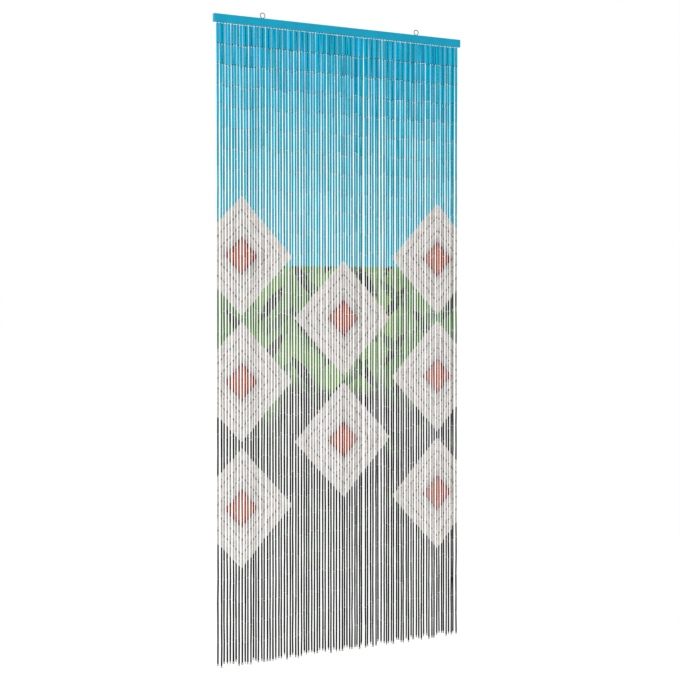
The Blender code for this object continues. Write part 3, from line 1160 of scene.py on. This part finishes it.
def eye_mesh(name, along):
    """Screw eye bent from one wire: ring, short bend and shank."""
    wire = sizes().eye_wire
    radius = (EYE_OUTER_DIAMETER - wire) / 2
    centre = radius + wire / 2 + EYE_GAP
    lift = math.sin(EYE_START_ANGLE)
    bend = radius * lift / (1.0 - lift)
    bend_base = centre - (radius + bend) * math.cos(EYE_START_ANGLE)
    bm = bmesh.new()
    made = bmesh.ops.create_circle(bm, segments=EYE_SIDES, radius=wire / 2)
    start = Vector((radius * lift, 0.0, centre - radius * math.cos(EYE_START_ANGLE)))
    lean = Matrix.Rotation(math.pi / 2 - EYE_START_ANGLE, 4, "Y")
    bmesh.ops.transform(bm, matrix=Matrix.Translation(start) @ lean, verts=made["verts"])
    first = bm.edges[:]
    bmesh.ops.spin(
        bm,
        geom=made["verts"] + first,
        cent=(0.0, 0.0, centre),
        axis=(0.0, -1.0, 0.0),
        angle=2 * math.pi - EYE_START_ANGLE - EYE_END_ANGLE,
        steps=EYE_RING_STEPS,
        use_merge=False,
    )
    bent = bmesh.ops.spin(
        bm,
        geom=made["verts"] + first,
        cent=(bend, 0.0, bend_base),
        axis=(0.0, -1.0, 0.0),
        angle=math.pi / 2 - EYE_START_ANGLE,
        steps=EYE_BEND_STEPS,
        use_merge=False,
    )
    last = [part for part in bent["geom_last"] if isinstance(part, bmesh.types.BMEdge)]
    shank = bmesh.ops.extrude_edge_only(bm, edges=last)["geom"]
    ends = [part for part in shank if isinstance(part, bmesh.types.BMVert)]
    bmesh.ops.translate(bm, vec=(0.0, 0.0, -EYE_SHANK_LENGTH - bend_base), verts=ends)
    bmesh.ops.holes_fill(bm, edges=bm.edges, sides=0)
    bmesh.ops.translate(bm, vec=(along, 0.0, 0.0), verts=bm.verts)
    return mesh_from(name, bm)


class CURTAIN_OT_eyes(bpy.types.Operator):
    """Make the two screw eyes that the bar hangs from"""

    bl_idname = "curtain.eyes"
    bl_label = "Screw eyes"

    def execute(self, context):
        for node, side in (("eye_left", -1), ("eye_right", 1)):
            mesh = eye_mesh(node + "_wire", EYE_ASIDE + side * EYE_SPACING / 2)
            add_piece(node + "_wire", mesh, (zinc_wire(),), (node,))
        return {"FINISHED"}


class CURTAIN_OT_bar(bpy.types.Operator):
    """Paint the header bar"""

    bl_idname = "curtain.bar"
    bl_label = "Header bar"

    def execute(self, context):
        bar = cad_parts["header_bar"]
        bar.data.materials.clear()
        bar.data.materials.append(bar_paint())
        return {"FINISHED"}


# Stage: floor, camera, backdrop and lights
FLOOR_LEVEL = -2.30
FLOOR_SIZE = 120.0
FLOOR_GLOW = 0.98
FLOOR_ROUGHNESS = 0.85
FLOOR_CLOUD_SCALE = 0.6
FLOOR_DARK = (0.050, 0.050, 0.050)
FLOOR_LIGHT = (0.060, 0.060, 0.059)
CAMERA_PLACE = (-2.087, -3.809, -0.872)
CAMERA_AZIMUTH = math.radians(28.613)
CAMERA_FOCAL_PIXELS = 1350.5
CAMERA_RISE_PIXELS = -41.5
CAMERA_REACH = 200.0
IMAGE_SIDE = 680
SENSOR = 36.0
WORLD_GLOW = 0.55
PHOTO_GAMMA = 0.8
LIGHT_COLUMNS = ("name", "place", "size", "power")
LIGHT_ROWS = (
    ("key softbox", (-10.0, -6.5, 2.85), 4.0, 750.0),
    ("back softbox", (2.6, 3.4, 0.6), 2.2, 60.0),
)
LIGHT_AIM = Vector((0.0, 0.0, -0.9))


def add_camera():
    """Camera at the photograph's angle: level, turned to the right, and shifted."""
    data = bpy.data.cameras.new("camera")
    data.sensor_width = SENSOR
    data.lens = CAMERA_FOCAL_PIXELS / IMAGE_SIDE * SENSOR
    data.shift_y = CAMERA_RISE_PIXELS / IMAGE_SIDE
    data.clip_end = CAMERA_REACH
    camera = bpy.data.objects.new("camera", data)
    camera.location = CAMERA_PLACE
    camera.rotation_euler = (math.pi / 2, 0.0, -CAMERA_AZIMUTH)
    bpy.context.scene.collection.objects.link(camera)
    bpy.context.scene.camera = camera


def add_world():
    """White backdrop whose light on the curtain is softer than its look."""
    world = bpy.data.worlds.new("studio")
    world.use_nodes = True
    tree = world.node_tree
    background = tree.nodes["Background"]
    background.inputs["Color"].default_value = (1.0, 1.0, 1.0, 1.0)
    rays = tree.nodes.new("ShaderNodeLightPath")
    strength = tree.nodes.new("ShaderNodeMapRange")
    strength.inputs["To Min"].default_value = WORLD_GLOW
    strength.inputs["To Max"].default_value = 1.0
    tree.links.new(rays.outputs["Is Camera Ray"], strength.inputs["Value"])
    tree.links.new(strength.outputs["Result"], background.inputs["Strength"])
    bpy.context.scene.world = world


def add_lights():
    """Key softbox from the left and a weaker one behind."""
    for row in table_rows(LIGHT_COLUMNS, LIGHT_ROWS):
        data = bpy.data.lights.new(row["name"], "AREA")
        data.size = row["size"]
        data.energy = row["power"]
        light = bpy.data.objects.new(row["name"], data)
        light.location = row["place"]
        aim = LIGHT_AIM - Vector(row["place"])
        light.rotation_euler = aim.to_track_quat("-Z", "Y").to_euler()
        bpy.context.scene.collection.objects.link(light)


class CURTAIN_OT_stage(bpy.types.Operator):
    """Set the pale floor, the soft light and the camera"""

    bl_idname = "curtain.stage"
    bl_label = "Studio stage"

    def execute(self, context):
        bm = bmesh.new()
        bmesh.ops.create_grid(bm, x_segments=1, y_segments=1, size=FLOOR_SIZE / 2)
        bmesh.ops.translate(bm, vec=(0.0, 0.0, FLOOR_LEVEL), verts=bm.verts)
        mesh = bpy.data.meshes.new("floor")
        bm.to_mesh(mesh)
        bm.free()
        mesh.materials.append(floor_paint())
        floor = bpy.data.objects.new("floor", mesh)
        context.scene.collection.objects.link(floor)
        add_camera()
        add_world()
        add_lights()
        context.scene.view_settings.view_transform = "Standard"
        context.scene.view_settings.gamma = PHOTO_GAMMA
        return {"FINISHED"}


class CURTAIN_PT_panel(bpy.types.Panel):
    """Curtain sizes, colours and steps"""

    bl_idname = "CURTAIN_PT_panel"
    bl_label = "Bamboo door curtain"
    bl_space_type = "VIEW_3D"
    bl_region_type = "UI"
    bl_category = "Curtain"

    def draw(self, context):
        column = self.layout.column(align=True)
        for operator in STEPS:
            column.operator(operator.bl_idname)
        for group in (context.scene.curtain_sizes, context.scene.curtain_colours):
            box = self.layout.box()
            for name in group.bl_rna.properties.keys():
                if name not in ("name", "rna_type"):
                    box.prop(group, name)


STEPS = (
    CURTAIN_OT_stage,
    CURTAIN_OT_bar,
    CURTAIN_OT_eyes,
    CURTAIN_OT_beads,
    CURTAIN_OT_links,
    CURTAIN_OT_staples,
)
CLASSES = (CurtainSizes, CurtainColours, *STEPS, CURTAIN_PT_panel)


def register():
    """Register the classes and hang the settings on the scene."""
    for item in CLASSES:
        bpy.utils.register_class(item)
    bpy.types.Scene.curtain_sizes = PointerProperty(type=CurtainSizes)
    bpy.types.Scene.curtain_colours = PointerProperty(type=CurtainColours)


def unregister():
    """Take the settings and the classes away again."""
    del bpy.types.Scene.curtain_colours
    del bpy.types.Scene.curtain_sizes
    for item in reversed(CLASSES):
        bpy.utils.unregister_class(item)


def main():
    """Run every step in order."""
    register()
    bpy.ops.curtain.stage()
    bpy.ops.curtain.bar()
    bpy.ops.curtain.eyes()
    bpy.ops.curtain.beads()
    bpy.ops.curtain.links()
    bpy.ops.curtain.staples()


if __name__ == "__main__":
    main()
